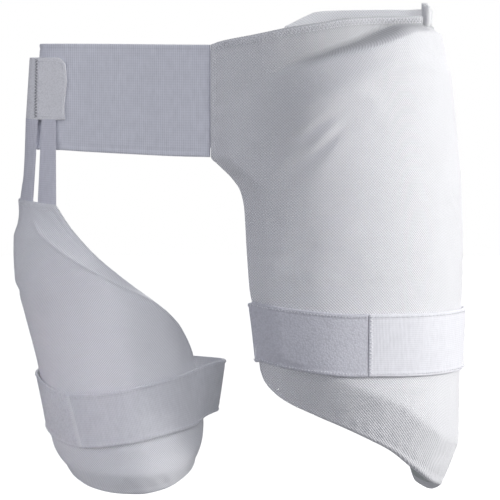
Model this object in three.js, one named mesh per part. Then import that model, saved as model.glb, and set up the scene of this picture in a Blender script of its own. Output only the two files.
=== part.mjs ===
import * as THREE from 'three';

// Lower body protector for batting, all sizes in millimetres.
// Origin: middle of the waist loop at belt mid height. Z is up, the front faces -Y.
// The tables below are laid out from the left fold of the belt in depth, then moved to the origin.

const waistMiddle = new THREE.Vector3(2, 56, 0);
const gap = 0.3;
const rest = 1;
const beltThick = 2.6;
const webThick = 2.0;
const elasticThick = 2.2;
const pileThick = 1.8;
const liningThick = 1.4;

// Large pad: q runs round the thigh from the crown of the front, left is negative
const outerPad = {
  crownX: 55, leftRadius: 230, turnRadius: 130,
  flange: 4, core: 12, leftBevel: 17, lowBevel: 40, rearBevel: 26,
  columns: 28, rows: 30, crowding: 1.22,
};

// Small pad: q runs round the inner thigh from its front
const innerPad = {
  turnRadius: 66, axisY: 30, edge: 5, core: 9, bevel: 20, columns: 20, rows: 20,
};

// A table of rows with named columns
function table(names, rows) {
  return rows.map((row) => Object.fromEntries(names.map((name, i) => [name, row[i]])));
}

// Smooth function through the values y at the stations x, held level outside them
function through(x, y, rounded) {
  const last = x.length - 1;
  const rise = (i) => (y[i + 1] - y[i]) / (x[i + 1] - x[i]);
  const slope = y.map((_, i) => {
    if (i === 0) return rise(0);
    if (i === last) return rise(last - 1);
    const before = x[i] - x[i - 1];
    const after = x[i + 1] - x[i];
    const a = rise(i - 1);
    const b = rise(i);
    if (rounded) return (a * after + b * before) / (before + after);
    return a * b <= 0 ? 0 : (2 * a * b) / (a + b);
  });
  return (at) => {
    const t = Math.min(Math.max(at, x[0]), x[last]);
    let i = 0;
    while (i < last - 1 && t > x[i + 1]) i += 1;
    const h = x[i + 1] - x[i];
    const f = (t - x[i]) / h;
    const g = 1 - f;
    const ends = y[i] * (1 + 2 * f) * g * g + y[i + 1] * (1 + 2 * g) * f * f;
    return ends + h * f * g * (slope[i] * g - slope[i + 1] * f);
  };
}

// One column of a table as a function of another column
function column(rows, by, name) {
  return through(rows.map((row) => row[by]), rows.map((row) => row[name]), false);
}

// Smooth line through points, as a function of its share of length in plan from 0 to 1
function line(points, rounded = true) {
  const run = [0];
  for (let i = 1; i < points.length; i += 1) {
    const step = points[i].clone().sub(points[i - 1]);
    run.push(run[i - 1] + Math.hypot(step.x, step.y));
  }
  const share = run.map((value) => value / run[run.length - 1]);
  const axes = ['x', 'y', 'z'].map((axis) =>
    through(share, points.map((p) => p[axis]), rounded && axis !== 'z'));
  const at = (place) => new THREE.Vector3(axes[0](place), axes[1](place), axes[2](place));
  at.share = share;
  return at;
}

// Ramp from 0 to 1 with soft ends
function ramp(value) {
  const t = Math.min(Math.max(value, 0), 1);
  return t * t * (3 - 2 * t);
}

function mix(a, b, t) {
  return a + (b - a) * t;
}

// Closed solid between an outer and an inner grid of points, joined round the rim
function slab(name, paint, columns, rows, outer, inner) {
  const points = [];
  const faces = [];
  const across = rows + 1;
  const layer = (columns + 1) * across;
  for (const side of [outer, inner]) {
    for (let i = 0; i <= columns; i += 1) {
      for (let j = 0; j <= rows; j += 1) {
        points.push(...side(i / columns, j / rows).sub(waistMiddle).toArray());
      }
    }
  }
  const quad = (a, b, c, d) => faces.push(a, b, c, a, c, d);
  for (let i = 0; i < columns; i += 1) {
    for (let j = 0; j < rows; j += 1) {
      const a = i * across + j;
      quad(a, a + 1, a + across + 1, a + across);
      quad(layer + a, layer + a + across, layer + a + across + 1, layer + a + 1);
    }
  }
  const rim = (a, b) => quad(a, b, layer + b, layer + a);
  for (let i = 0; i < columns; i += 1) {
    rim(i * across, (i + 1) * across);
    rim((i + 1) * across + rows, i * across + rows);
  }
  for (let j = 0; j < rows; j += 1) {
    rim(j + 1, j);
    rim(columns * across + j, columns * across + j + 1);
  }
  const geometry = new THREE.BufferGeometry();
  geometry.setAttribute('position', new THREE.Float32BufferAttribute(points, 3));
  geometry.setIndex(faces);
  geometry.computeVertexNormals();
  const mesh = new THREE.Mesh(geometry, paint);
  mesh.name = name;
  return mesh;
}

// Strip of even thickness along a path(along, across), facing away from the leg
function strip(name, paint, columns, rows, thick, path) {
  const step = 0.004;
  const face = (lift) => (along, across) => {
    const back = path(Math.max(along - step, 0), across);
    const ahead = path(Math.min(along + step, 1), across);
    const up = path(along, Math.max(across - step, 0));
    const down = path(along, Math.min(across + step, 1));
    const normal = ahead.sub(back).cross(up.sub(down)).normalize();
    return path(along, across).addScaledVector(normal, lift);
  };
  return slab(name, paint, columns, rows, face(thick / 2), face(-thick / 2));
}

// Patch of (q, z) spanned between four border lines
function patch(left, right, top, bottom) {
  const edges = [left, right, top, bottom].map((rows) =>
    line(rows.map((row) => new THREE.Vector3(row.q, row.z, 0)), false));
  const corner = [edges[2](0), edges[2](1), edges[3](0), edges[3](1)];
  return (u, v) => {
    const a = edges[0](v);
    const b = edges[1](v);
    const c = edges[2](u);
    const d = edges[3](u);
    const blend = (axis) => mix(a[axis], b[axis], u) + mix(c[axis], d[axis], v)
      - mix(mix(corner[0][axis], corner[1][axis], u), mix(corner[2][axis], corner[3][axis], u), v);
    return { q: blend('x'), z: blend('y') };
  };
}

// Large pad sections: radius of the lining side and place of the front crown
const outerSections = table(['z', 'radius', 'front'], [
  [-340, 114, -24],
  [-302, 116.5, -31],
  [-227, 118, -38],
  [-127, 120, -41],
  [-70, 118, -41],
  [-38, 115, -40],
  [0, 111.5, -39],
  [41, 107.4, -38.5],
  [80, 105.8, -38],
]);
const outerRadius = column(outerSections, 'z', 'radius');
const outerFront = column(outerSections, 'z', 'front');

// Large pad outline, seam with the belt first, then the free left edge
const outerLeft = table(['q', 'z'], [
  [-76, 45.5], [-76, 0], [-75.5, -45.5], [-70, -51], [-57.5, -63], [-51, -73],
  [-48, -87], [-46, -120], [-43.6, -152], [-41, -166], [-36.5, -206], [-35, -217.5],
]);
const outerTop = table(['q', 'z'], [
  [-76, 45.5], [-68, 48.2], [-40, 53.6], [-2.5, 61], [15, 63], [42, 66.5], [80, 68.5], [143, 70],
  [149, 62.5], [204, 62], [262, 61],
]);
const outerRight = table(['q', 'z'], [
  [262, 61], [262, 8], [262, -46], [267, -90], [278, -190], [284, -270], [284, -318],
]);
const outerBottom = table(['q', 'z'], [
  [-35, -217.5], [-31.6, -226.5], [-22.5, -237], [-10.7, -245], [9, -254], [37, -265.5],
  [61, -276], [83, -286], [113, -303], [152, -319], [204, -328], [245, -335], [270, -332],
  [284, -318],
]);
const outerGrid = patch(outerLeft, outerRight, outerTop, outerBottom);

// Foam core of the large pad: upper crease and depth of the bevel below it
const outerCrease = table(['q', 'z', 'bevel'], [
  [-76, -6, 52], [-34, 13, 44], [-7, 26, 36], [16, 33, 32], [42, 40, 28], [78, 49, 24],
  [127, 56, 28], [180, 56, 34], [262, 54, 30],
]);
const creaseZ = column(outerCrease, 'q', 'z');
const creaseBevel = column(outerCrease, 'q', 'bevel');

// Flange above the crease: it stands back behind the core, most at the middle of its run
const outerBand = { from: -6, to: 158, depth: 17, ledge: 4, under: 6 };
function bandDepth(q, rise) {
  const share = THREE.MathUtils.clamp((q - outerBand.from) / (outerBand.to - outerBand.from), 0, 1);
  return outerBand.depth * Math.sin(Math.PI * share) * ramp(share * 4) * ramp(rise / outerBand.ledge);
}
const outerLeftQ = column(outerLeft.slice(2).reverse(), 'z', 'q');
const outerBottomZ = column(outerBottom.slice(0, 12), 'q', 'z');
const outerRightQ = column(outerRight.slice().reverse(), 'z', 'q');

// Soft folds of the cover: middle, heading, reach along and across, height
const outerFolds = table(['q', 'z', 'heading', 'reach', 'width', 'height'], [
  [27, -24, 40, 34, 9, -1.8],
  [40, -48, 46, 30, 9, -1.6],
  [46, -28, 42, 36, 10, 1.4],
]);

function folds(rows, q, z) {
  return rows.reduce((sum, row) => {
    const turn = THREE.MathUtils.degToRad(row.heading);
    const along = ((q - row.q) * Math.cos(turn) + (z - row.z) * Math.sin(turn)) / row.reach;
    const across = ((z - row.z) * Math.cos(turn) - (q - row.q) * Math.sin(turn)) / row.width;
    return sum + row.height * Math.exp(-along * along - across * across);
  }, 0);
}

// Lining side of the large pad and the way out from it
function outerBase(q, z) {
  const left = q < 0;
  const turn = q / (left ? outerPad.leftRadius : outerPad.turnRadius);
  const radius = left ? outerPad.leftRadius : outerRadius(z);
  const out = new THREE.Vector3(Math.sin(turn), -Math.cos(turn), 0);
  const y = outerFront(z) + radius * (1 - Math.cos(turn));
  const point = new THREE.Vector3(outerPad.crownX + radius * Math.sin(turn), y, z);
  point.addScaledVector(out, -bandDepth(q, z - creaseZ(q) + outerBand.under));
  return { point, out };
}

// Thickness of the large pad: thin flange, foam core with bevelled sides, soft folds
function outerThick(q, z) {
  const drop = (creaseZ(q) - z) / creaseBevel(q);
  const crisp = 0.34 * ramp((q - 10) / 90);
  const top = crisp * ramp(drop / 0.2) + (1 - crisp) * ramp(drop);
  const left = ramp((q - outerLeftQ(z)) / outerPad.leftBevel);
  const low = ramp((z - outerBottomZ(q)) / outerPad.lowBevel);
  const rear = ramp((outerRightQ(z) - q) / outerPad.rearBevel);
  const core = top * left * low * rear;
  const rise = z - creaseZ(q);
  const ledge = bandDepth(q, rise + outerBand.under) - bandDepth(q, rise);
  return outerPad.flange + outerPad.core * core + folds(outerFolds, q, z) * core + ledge;
}

// Share of a column of the large pad where it meets the crease
function creaseShare(u) {
  let low = 0;
  let high = 1;
  for (let i = 0; i < 30; i += 1) {
    const middle = (low + high) / 2;
    const { q, z } = outerGrid(u, middle);
    if (z > creaseZ(q)) {
      low = middle;
    } else {
      high = middle;
    }
  }
  return low;
}

// Rows of the large pad follow the crease: three above its ledge, then ledge, crease and underside
function outerRow(u, row) {
  const crease = creaseShare(u);
  const height = outerGrid(u, 0).z - outerGrid(u, crease).z;
  const depth = outerGrid(u, crease).z - outerGrid(u, 1).z;
  const stops = [
    0,
    crease * (1 - Math.min(outerBand.ledge / height, 0.6)),
    crease,
    crease + (1 - crease) * outerBand.under / depth,
    1,
  ];
  const marks = [0, 3, 4, 5, outerPad.rows];
  const i = marks.findIndex((mark) => row <= mark + 1e-9 && mark > 0);
  return mix(stops[i - 1], stops[i], (row - marks[i - 1]) / (marks[i] - marks[i - 1]));
}

// Point at a height above the outer face of the large pad
function onOuter(q, z, lift) {
  const { point, out } = outerBase(q, z);
  return point.addScaledVector(out, outerThick(q, z) + lift);
}

// Small pad sections: axis place and radius of the lining side
const innerSections = table(['z', 'axisX', 'radius'], [
  [-322, -82.5, 51],
  [-300, -85.5, 53],
  [-259, -91.8, 52],
  [-223, -98, 52],
  [-175, -110, 52],
  [-145, -118, 52],
  [-107, -121, 52],
  [-80, -125, 52],
]);
const innerAxis = column(innerSections, 'z', 'axisX');
const innerRadius = column(innerSections, 'z', 'radius');

// Small pad outline: neck, rear edge on the left, slanted edge on the right, round tongue
const innerTop = table(['q', 'z'], [[-86, -80], [-57, -82], [-28, -84]]);
const innerLeft = table(['q', 'z'], [
  [-86, -80], [-103, -112], [-115, -150], [-118, -200], [-114, -254], [-103, -284], [-70, -308],
]);
const innerRight = table(['q', 'z'], [
  [-28, -84], [-16, -102], [8, -126], [40, -149], [68, -168], [90, -188], [103, -212],
  [105, -240], [98.5, -267], [73, -298.5],
]);
const innerBottom = table(['q', 'z'], [
  [-70, -308], [-42, -316.8], [-17, -320], [4, -320.5], [30, -317], [54, -308.5], [73, -298.5],
]);
const innerGrid = patch(innerLeft, innerRight, innerTop, innerBottom);
const innerLeftQ = column(innerLeft.slice().reverse(), 'z', 'q');
const innerRightQ = column(innerRight.slice().reverse(), 'z', 'q');
const innerBottomZ = column(
  [...innerLeft.slice(4), ...innerBottom.slice(1), ...innerRight.slice(7, 9).reverse()], 'q', 'z');

// Shallow dents of the small pad
const innerFolds = table(['q', 'z', 'heading', 'reach', 'width', 'height'], [
  [-82, -148, 35, 22, 8, -1.6],
  [-66, -140, 48, 24, 8, -1.2],
]);

function innerBase(q, z) {
  const turn = q / innerPad.turnRadius;
  const out = new THREE.Vector3(Math.sin(turn), -Math.cos(turn), 0);
  const point = new THREE.Vector3(innerAxis(z), innerPad.axisY, z);
  return { point: point.addScaledVector(out, innerRadius(z)), out };
}

function innerThick(q, z) {
  const neck = ramp((-90 - z) / 34);
  const left = ramp((q - innerLeftQ(z)) / innerPad.bevel);
  const right = ramp((innerRightQ(z) - q) / innerPad.bevel);
  const low = ramp((z - innerBottomZ(q)) / (innerPad.bevel * 0.8));
  const core = neck * left * right * low;
  return innerPad.edge + innerPad.core * core + folds(innerFolds, q, z) * core;
}

function onInner(q, z, lift) {
  const { point, out } = innerBase(q, z);
  return point.addScaledVector(out, innerThick(q, z) + lift);
}

// Belt run: rear end at the wing, left fold, front end at the seam of the large pad
const beltRun = table(['x', 'y', 'top', 'bottom'], [
  [40.8, 151.2, 44, -42],
  [0, 136, 44, -41],
  [-60, 96, 45, -40],
  [-110, 53, 46, -40],
  [-142, 18, 46.5, -40],
  [-149.5, 9.5, 46.5, -40],
  [-156.4, 5, 46.5, -40],
  [-159.2, -1, 46.5, -40],
  [-156, -7, 46.5, -40],
  [-148, -10.4, 46.5, -40],
  [-120, -13.8, 46.4, -41.5],
  [-80, -18.4, 46, -43.5],
  [-45, -23.2, 45.6, -45],
]);

// Middle of the flange of the large pad at its seam, drawn back by the gap
function seamPoint(z) {
  const { point, out } = outerBase(outerLeft[0].q, z);
  const along = new THREE.Vector3(-out.y, out.x, 0);
  return point.addScaledVector(out, outerPad.flange / 2).addScaledVector(along, -gap);
}

function beltPath(across) {
  const level = (row) => mix(row.top, row.bottom, across);
  const points = beltRun.map((row) => new THREE.Vector3(row.x, row.y, level(row)));
  return line([...points, seamPoint(mix(45.4, -45.4, across))]);
}

// Place along the belt run, away from the leg by the lift, at any height
const beltPlan = beltPath(0.5);
function besideBelt(along, lift, z) {
  const point = beltPlan(along);
  const way = beltPlan(along + 0.003).sub(beltPlan(along - 0.003)).setZ(0).normalize();
  return point.add(new THREE.Vector3(way.y * lift, -way.x * lift, 0)).setZ(z);
}

// Share of the belt run where the front or the rear run passes a given x
function beltShare(x, front) {
  let best = 0;
  let miss = Infinity;
  for (let i = 0; i <= 2000; i += 1) {
    const point = beltPlan(i / 2000);
    const error = Math.abs(point.x - x);
    if ((point.y < -1) === front && error < miss) {
      miss = error;
      best = i / 2000;
    }
  }
  return best;
}

// Rear wing: rolled front end above the core, then round the back to the belt
const wingRoll = { turn: 70.5, radius: 3.2, sweep: 285, steps: 9 };
const wingRun = table(['q', 'top', 'bottom'], [
  [160, 80, 63], [176, 76, 63], [200, 75.5, 63], [230, 76.5, 63], [256, 77.5, 63],
  [263.5, 77.5, 63.5], [268, 77.5, 20], [272, 77.5, -40],
]);
const wingBack = table(['x', 'y', 'top', 'bottom'], [
  [132, 138, 78, -41],
  [104, 150, 78, -42],
  [80, 155, 77.5, -42],
  [69, 155.4, 76.4, -42],
  [60, 155.2, 73, -42],
  [51, 153.8, 68.4, -42],
  [41.4, 151.4, 63.6, -42],
]);

function wingPath(across) {
  const turn = THREE.MathUtils.degToRad(wingRoll.turn);
  const out = new THREE.Vector3(Math.sin(turn), -Math.cos(turn), 0);
  const along = new THREE.Vector3(Math.cos(turn), Math.sin(turn), 0);
  const heart = outerBase(turn * outerPad.turnRadius, 72).point.addScaledVector(out, 2.6);
  const points = [];
  for (let i = 0; i < wingRoll.steps; i += 1) {
    const swing = THREE.MathUtils.degToRad(wingRoll.sweep * (1 - i / wingRoll.steps));
    const point = heart.clone().addScaledVector(out, wingRoll.radius * Math.cos(swing));
    point.addScaledVector(along, -wingRoll.radius * Math.sin(swing));
    points.push(point.setZ(mix(81, 63, across)));
  }
  for (const row of wingRun) {
    const { point, out: away } = outerBase(row.q, 66);
    points.push(point.addScaledVector(away, 2).setZ(mix(row.top, row.bottom, across)));
  }
  for (const row of wingBack) {
    points.push(new THREE.Vector3(row.x, row.y, mix(row.top, row.bottom, across)));
  }
  return line(points);
}

// Large leg strap: middle height and width on the pad, then the free run behind the leg
const outerStrapOn = table(['q', 'z', 'width'], [
  [-41, -185, 47.5], [-20, -189, 49], [9, -193.5, 50.5], [37, -196.5, 51], [60, -197, 51],
  [84, -198, 51.5], [127, -199, 52], [176, -199.5, 52], [204, -200, 52], [270, -200, 52],
]);
const outerStrapZ = column(outerStrapOn, 'q', 'z');
const outerStrapWidth = column(outerStrapOn, 'q', 'width');
const outerStrapSeam = 50;
const outerStrapBack = table(['x', 'y', 'z', 'width'], [
  [140, 160, -200, 52],
  [104, 167, -199, 52],
  [68, 150, -198, 52],
  [43, 114, -196, 52],
  [28, 66, -193, 51],
  [20.5, 16, -190, 49],
  [20.4, -20, -187, 48],
]);

// Small leg strap: middle height and width on the pad, fold on the right, run behind the leg
const innerStrapOn = table(['q', 'z', 'width'], [
  [-114, -241, 44], [-104, -244, 44], [-85, -250, 44], [-62, -257, 44], [-42, -260, 44],
  [-18, -258.5, 44], [4, -255.5, 44], [41, -248, 44], [66, -244.5, 44],
]);
const innerStrapZ = column(innerStrapOn, 'q', 'z');
const innerStrapHem = { top: -43, bottom: -38 };
const innerStrapBack = table(['x', 'y', 'z', 'width', 'lean'], [
  [-25, 6, -238.5, 44, 2],
  [-15.5, 17, -236, 43.5, 6],
  [-12.7, 23, -235.5, 43.5, 6.6],
  [-15.3, 29, -235.5, 43.5, 6.6],
  [-32.5, 52, -236, 44, 5],
  [-63, 84, -237, 44, 2],
  [-104, 96, -238, 44, 0],
  [-140, 78, -239, 44, 0],
  [-156, 56, -240, 44, 0],
]);

function free(rows, across) {
  return rows.map((row) => {
    const rise = 0.5 - across;
    return new THREE.Vector3(row.x + (row.lean || 0) * rise, row.y, row.z + row.width * rise);
  });
}

function outerStrapAt(q, across, lift) {
  return onOuter(q, outerStrapZ(q) + outerStrapWidth(q) * (0.5 - across), lift);
}

function innerStrapAt(q, across, lift) {
  return onInner(q, innerStrapZ(q) + innerStrapOn[0].width * (0.5 - across), lift);
}

// Stations from one q to another, both ends kept
function stations(from, to, count) {
  return Array.from({ length: count + 1 }, (_, i) => mix(from, to, i / count));
}

function paint(color, roughness) {
  return new THREE.MeshStandardMaterial({ color, roughness, metalness: 0 });
}

const coverWhite = paint(0xe9e9ec, 0.82);
const innerWhite = paint(0xe2e2e4, 0.84);
const liningGrey = paint(0x8f9590, 0.9);
const wingWhite = paint(0xe8e8ec, 0.82);
const beltWhite = paint(0xd9d9e2, 0.88);
const tabWhite = paint(0xdfdfe6, 0.9);
const webWhite = paint(0xd6d6de, 0.86);
const pileWhite = paint(0xdddde4, 0.97);
const elasticWhite = paint(0xe4e4ea, 0.88);

function makeOuterPad() {
  const face = (lift) => (u, v) => {
    const run = Math.pow(u, outerPad.crowding);
    const { q, z } = outerGrid(run, outerRow(run, v * outerPad.rows));
    return lift ? onOuter(q, z, 0) : outerBase(q, z).point;
  };
  return slab('outer_thigh_pad', coverWhite, outerPad.columns, outerPad.rows, face(true), face(false));
}

// Lining: thin sheet behind the core, inset from the outline
function makeLining() {
  const inset = { left: 0.03, right: 0.97, top: 0.4, bottom: 0.985 };
  const face = (depth) => (u, v) => {
    const { q, z } = outerGrid(mix(inset.left, inset.right, u), mix(inset.top, inset.bottom, v));
    const { point, out } = outerBase(q, z);
    return point.addScaledVector(out, -depth);
  };
  return slab('outer_pad_lining', liningGrey, 15, 10, face(gap), face(gap + liningThick));
}

function makeInnerPad() {
  const face = (lift) => (u, v) => {
    const { q, z } = innerGrid(u, v);
    return lift ? onInner(q, z, 0) : innerBase(q, z).point;
  };
  return slab('inner_thigh_pad', innerWhite, innerPad.columns, innerPad.rows, face(true), face(false));
}

// Belt: its columns stand closer round the left fold
function makeBelt() {
  const stops = table(['step', 'share'], [
    [0, 0], [0.34, beltShare(-143, false)], [0.76, beltShare(-143, true)], [1, 1],
  ]);
  const share = column(stops, 'step', 'share');
  return strip('waist_belt', beltWhite, 54, 2, beltThick, (along, across) =>
    beltPath(across)(share(along)));
}

// Wing: its columns stand closer in the roll and where the lower edge drops
function makeWing() {
  const first = wingRoll.steps;
  const shares = wingPath(0.5).share;
  const stops = table(['step', 'share'], [
    [0, 0], [0.24, shares[first]], [0.5, shares[first + 5]], [0.74, shares[first + 7]], [1, 1],
  ]);
  const share = column(stops, 'step', 'share');
  return strip('rear_wing', wingWhite, 42, 2, webThick, (along, across) =>
    wingPath(across)(share(along)));
}

// Tab folded round the left end of the belt, front half longer than the rear half
const tabFrom = beltShare(-147, false);
const tabTo = beltShare(-138, true);
function tabPath(along, across) {
  const top = 35.3 - 5 * Math.pow(Math.max((along - 0.84) / 0.16, 0), 2);
  const bottom = mix(-11, -15.6, ramp(along / 0.6));
  const bulge = (4 + 3.4 * across) * Math.exp(-Math.pow((along - 0.4) / 0.17, 2));
  const lift = beltThick / 2 + gap * 2 + webThick / 2 + bulge;
  return besideBelt(mix(tabFrom, tabTo, along), lift, mix(top, bottom, across));
}

function makeTab() {
  return strip('hanger_tab', tabWhite, 24, 2, webThick, tabPath);
}

// Upper ends of the two webbings along the tab's lower edge, lower ends on the neck of the small pad
const hangers = {
  front: { from: 0.558, to: 0.826, neckFrom: -50, neckTo: -27 },
  back: { from: 0.3, to: 0.5, neckFrom: -85, neckTo: -58 },
};

function makeHanger(name, ends) {
  const neckZ = column(innerTop, 'q', 'z');
  return strip(name, webWhite, 4, 8, webThick, (along, across) => {
    const high = tabPath(mix(ends.from, ends.to, along), 1);
    high.z -= gap * 2;
    const q = mix(ends.neckFrom, ends.neckTo, along);
    const { point, out } = innerBase(q, neckZ(q));
    const low = point.addScaledVector(out, innerPad.edge / 2);
    low.z += gap * 2;
    return high.lerp(low, across);
  });
}

// Pile half: turned round the free edge of the pad to meet the run behind the leg
function makeOuterPile() {
  const lift = rest + pileThick / 2;
  const end = outerStrapBack[outerStrapBack.length - 1];
  return strip('outer_strap_pile', pileWhite, 26, 4, pileThick, (along, across) => {
    const z = end.z + end.width * (0.5 - across);
    const edge = outerLeftQ(z);
    const beside = (q, depth) => {
      const { point, out } = outerBase(q, z);
      return point.addScaledVector(out, depth);
    };
    const turned = [
      new THREE.Vector3(end.x, end.y - gap * 2, z),
      beside(edge + 1.5, -5),
      beside(edge - lift - 0.8, 0.5),
      beside(edge - lift * 0.8, outerPad.flange + lift * 0.6),
    ];
    const on = stations(edge + 1.5, outerStrapSeam, 14).map((q) => outerStrapAt(q, across, lift));
    return line([...turned, ...on])(along);
  });
}

function makeOuterElastic() {
  const qs = stations(outerStrapSeam + 1, 270, 15);
  return strip('outer_strap_elastic', elasticWhite, 38, 3, elasticThick, (along, across) => {
    const lift = rest + elasticThick / 2;
    const on = qs.map((q) => outerStrapAt(q, across, lift + gap * ramp((q - 220) / 30)));
    return line([...on, ...free(outerStrapBack, across)])(along);
  });
}

function innerPileAt(q, across) {
  return innerStrapAt(q, across, rest + pileThick / 2 + rest * ramp((-88 - q) / 14));
}

function makeInnerPile() {
  const qs = stations(innerStrapOn[0].q, -32, 12);
  return strip('inner_strap_pile', pileWhite, 14, 4, pileThick, (along, across) =>
    line(qs.map((q) => innerPileAt(q, across)))(along));
}

// Elastic of the small strap: starts with its folded end on the pile, ends at the pile behind the leg
function makeInnerElastic() {
  return strip('inner_strap_elastic', elasticWhite, 50, 3, elasticThick, (along, across) => {
    const start = mix(innerStrapHem.top, innerStrapHem.bottom, across);
    const over = rest * 1.5 + pileThick + elasticThick / 2;
    const flat = rest + elasticThick / 2;
    const on = stations(start, 66, 14).map((q) =>
      innerStrapAt(q, across, mix(over, flat, ramp((q + 30) / 24))));
    const near = innerPileAt(innerStrapOn[0].q, across);
    const way = innerPileAt(innerStrapOn[0].q + 2, across).sub(near).setZ(0).normalize();
    const end = near.addScaledVector(way, -gap * 2.5);
    return line([...on, ...free(innerStrapBack, across), end])(along);
  });
}

const protector = new THREE.Group();
protector.name = 'lower_body_protector';
protector.add(makeOuterPad());
protector.add(makeLining());
protector.add(makeWing());
protector.add(makeBelt());
protector.add(makeTab());
protector.add(makeHanger('hanger_strap_front', hangers.front));
protector.add(makeHanger('hanger_strap_back', hangers.back));
protector.add(makeInnerPad());
protector.add(makeOuterPile());
protector.add(makeOuterElastic());
protector.add(makeInnerPile());
protector.add(makeInnerElastic());

export default protector;
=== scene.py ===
import math

import bpy
import numpy as np
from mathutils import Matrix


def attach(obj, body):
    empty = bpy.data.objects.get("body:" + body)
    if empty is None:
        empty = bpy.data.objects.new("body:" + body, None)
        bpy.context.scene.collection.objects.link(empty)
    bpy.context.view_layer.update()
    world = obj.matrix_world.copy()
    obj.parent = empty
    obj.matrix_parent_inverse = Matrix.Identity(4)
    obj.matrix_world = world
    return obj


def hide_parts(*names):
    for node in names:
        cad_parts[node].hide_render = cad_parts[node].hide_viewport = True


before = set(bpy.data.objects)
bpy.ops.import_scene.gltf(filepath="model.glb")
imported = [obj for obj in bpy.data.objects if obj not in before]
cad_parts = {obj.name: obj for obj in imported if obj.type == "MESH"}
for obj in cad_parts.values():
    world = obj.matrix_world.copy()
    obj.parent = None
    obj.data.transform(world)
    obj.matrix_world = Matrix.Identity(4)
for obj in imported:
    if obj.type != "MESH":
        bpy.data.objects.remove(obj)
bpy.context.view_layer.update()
scene = bpy.context.scene
print("stage: frame loaded")

# Tables are in millimetres, laid out from the left fold of the belt in depth, then moved to the waist
waistMiddle = np.array([2.0, 56.0, 0.0])


# Helpers
def toFrame(points):
    return (np.asarray(points, float) - waistMiddle) * 0.001


def unit(vectors):
    return vectors / np.maximum(np.linalg.norm(vectors, axis=-1, keepdims=True), 1e-9)


def gridOf(first, second):
    return np.meshgrid(first, second, indexing="ij")


# corners of each cell of a grid, in order round the cell or the other way
def cellCorners(grid, turned=False):
    a, b, c, d = grid[:-1, :-1], grid[:-1, 1:], grid[1:, 1:], grid[1:, :-1]
    return np.stack((a, d, c, b) if turned else (a, b, c, d), 2)


# cells of a grid whose last column joins its first
def ringCells(rings, spokes, turned=False):
    ids = np.arange(rings * spokes).reshape(rings, spokes)
    return cellCorners(np.concatenate([ids, ids[:, :1]], 1), turned).reshape(-1, 4)


def addObject(name, data):
    thing = bpy.data.objects.new(name, data)
    scene.collection.objects.link(thing)
    return thing


# node with its inputs set by value, or linked where an input is another node's socket
def addNode(tree, kind, inputs={}):
    node = tree.nodes.new("ShaderNode" + kind)
    for label, value in inputs.items():
        if isinstance(value, bpy.types.NodeSocket):
            tree.links.new(value, node.inputs[label])
        else:
            node.inputs[label].default_value = value
    return node


def math2(tree, operation, *values):
    node = addNode(tree, "Math", dict(enumerate(values)))
    node.operation = operation
    return node.outputs["Value"]


# Camera, light and floor
shot = dict(distance=2500.0, elevation=3.0, aim=(11.5, 0.0, -122.2), across=410.0)


def makeCamera():
    data = bpy.data.cameras.new("photoCamera")
    camera = addObject("photoCamera", data)
    lift = math.radians(shot["elevation"])
    aim = toFrame(shot["aim"])
    reach = shot["distance"] * 0.001
    camera.location = (aim[0], aim[1] - reach * math.cos(lift), aim[2] + reach * math.sin(lift))
    camera.rotation_euler = (math.pi / 2 - lift, 0.0, 0.0)
    data.sensor_width = 36.0
    data.lens = 36.0 * shot["distance"] / shot["across"]
    data.clip_end = 50.0
    scene.camera = camera


studio = dict(
    worldColor=(0.85, 0.875, 1.0), worldStrength=0.435, worldFall=(-0.7, 0.5, 1.0, 0.15),
    floorDrop=0.62, floorRadius=9.0, floorSpokes=64, floorRings=24, floorColor=(0.32, 0.32, 0.33),
    lights=(
        # name, place, size, power, colour, aim in millimetres, spread in degrees
        ("keySoftbox", (2.19, -0.25, 0.29), 0.75, 38.0, (1.0, 0.995, 0.985), (0, 20, -110), 180),
        ("leftSoftbox", (-1.84, -1.58, 0.15), 1.5, 9.2, (0.95, 0.955, 1.0), (0, 20, -110), 180),
        ("frontSoftbox", (1.3, -1.25, 1.35), 1.0, 8.8, (0.99, 0.99, 1.0), (0, 20, -110), 180),
        ("backSoftbox", (0.35, 2.1, 1.0), 1.2, 36.0, (0.98, 0.99, 1.0), (0, 20, -110), 180),
        ("gridSoftbox", (-0.95, -1.55, -0.2), 0.06, 0.0135, (0.97, 0.975, 1.0), (-108, 0, -216), 11),
    ),
)


# surround: brighter in front of the object than behind it, white to the camera
def makeWorld():
    world = bpy.data.worlds.new("studioWorld")
    world.use_nodes = True
    tree = world.node_tree
    tree.nodes.clear()
    way = addNode(tree, "TexCoord").outputs["Generated"]
    depth = addNode(tree, "SeparateXYZ", {"Vector": way}).outputs["Y"]
    fall = dict(zip(("From Min", "From Max", "To Min", "To Max"), studio["worldFall"]))
    fade = addNode(tree, "MapRange", {"Value": depth, **fall}).outputs["Result"]
    strength = math2(tree, "MULTIPLY", fade, studio["worldStrength"])
    light = addNode(tree, "Background", {"Color": (*studio["worldColor"], 1.0), "Strength": strength})
    white = addNode(tree, "Background", {"Color": (1.0, 1.0, 1.0, 1.0)})
    ray = addNode(tree, "LightPath").outputs["Is Camera Ray"]
    pick = addNode(tree, "MixShader", {"Fac": ray, 1: light.outputs[0], 2: white.outputs[0]})
    addNode(tree, "OutputWorld", {"Surface": pick.outputs["Shader"]})
    scene.world = world


def makeLamps():
    for name, place, size, power, color, aim, spread in studio["lights"]:
        data = bpy.data.lights.new(name, "AREA")
        data.shape = "SQUARE" if spread < 90 else "DISK"
        data.size = size
        data.energy = power
        data.color = color
        data.spread = math.radians(spread)
        lamp = addObject(name, data)
        lamp.location = place
        away = np.array(place) - toFrame(aim)
        flat = math.hypot(away[0], away[1])
        lamp.rotation_euler = (math.atan2(flat, away[2]), 0.0, math.atan2(away[0], -away[1]))


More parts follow.
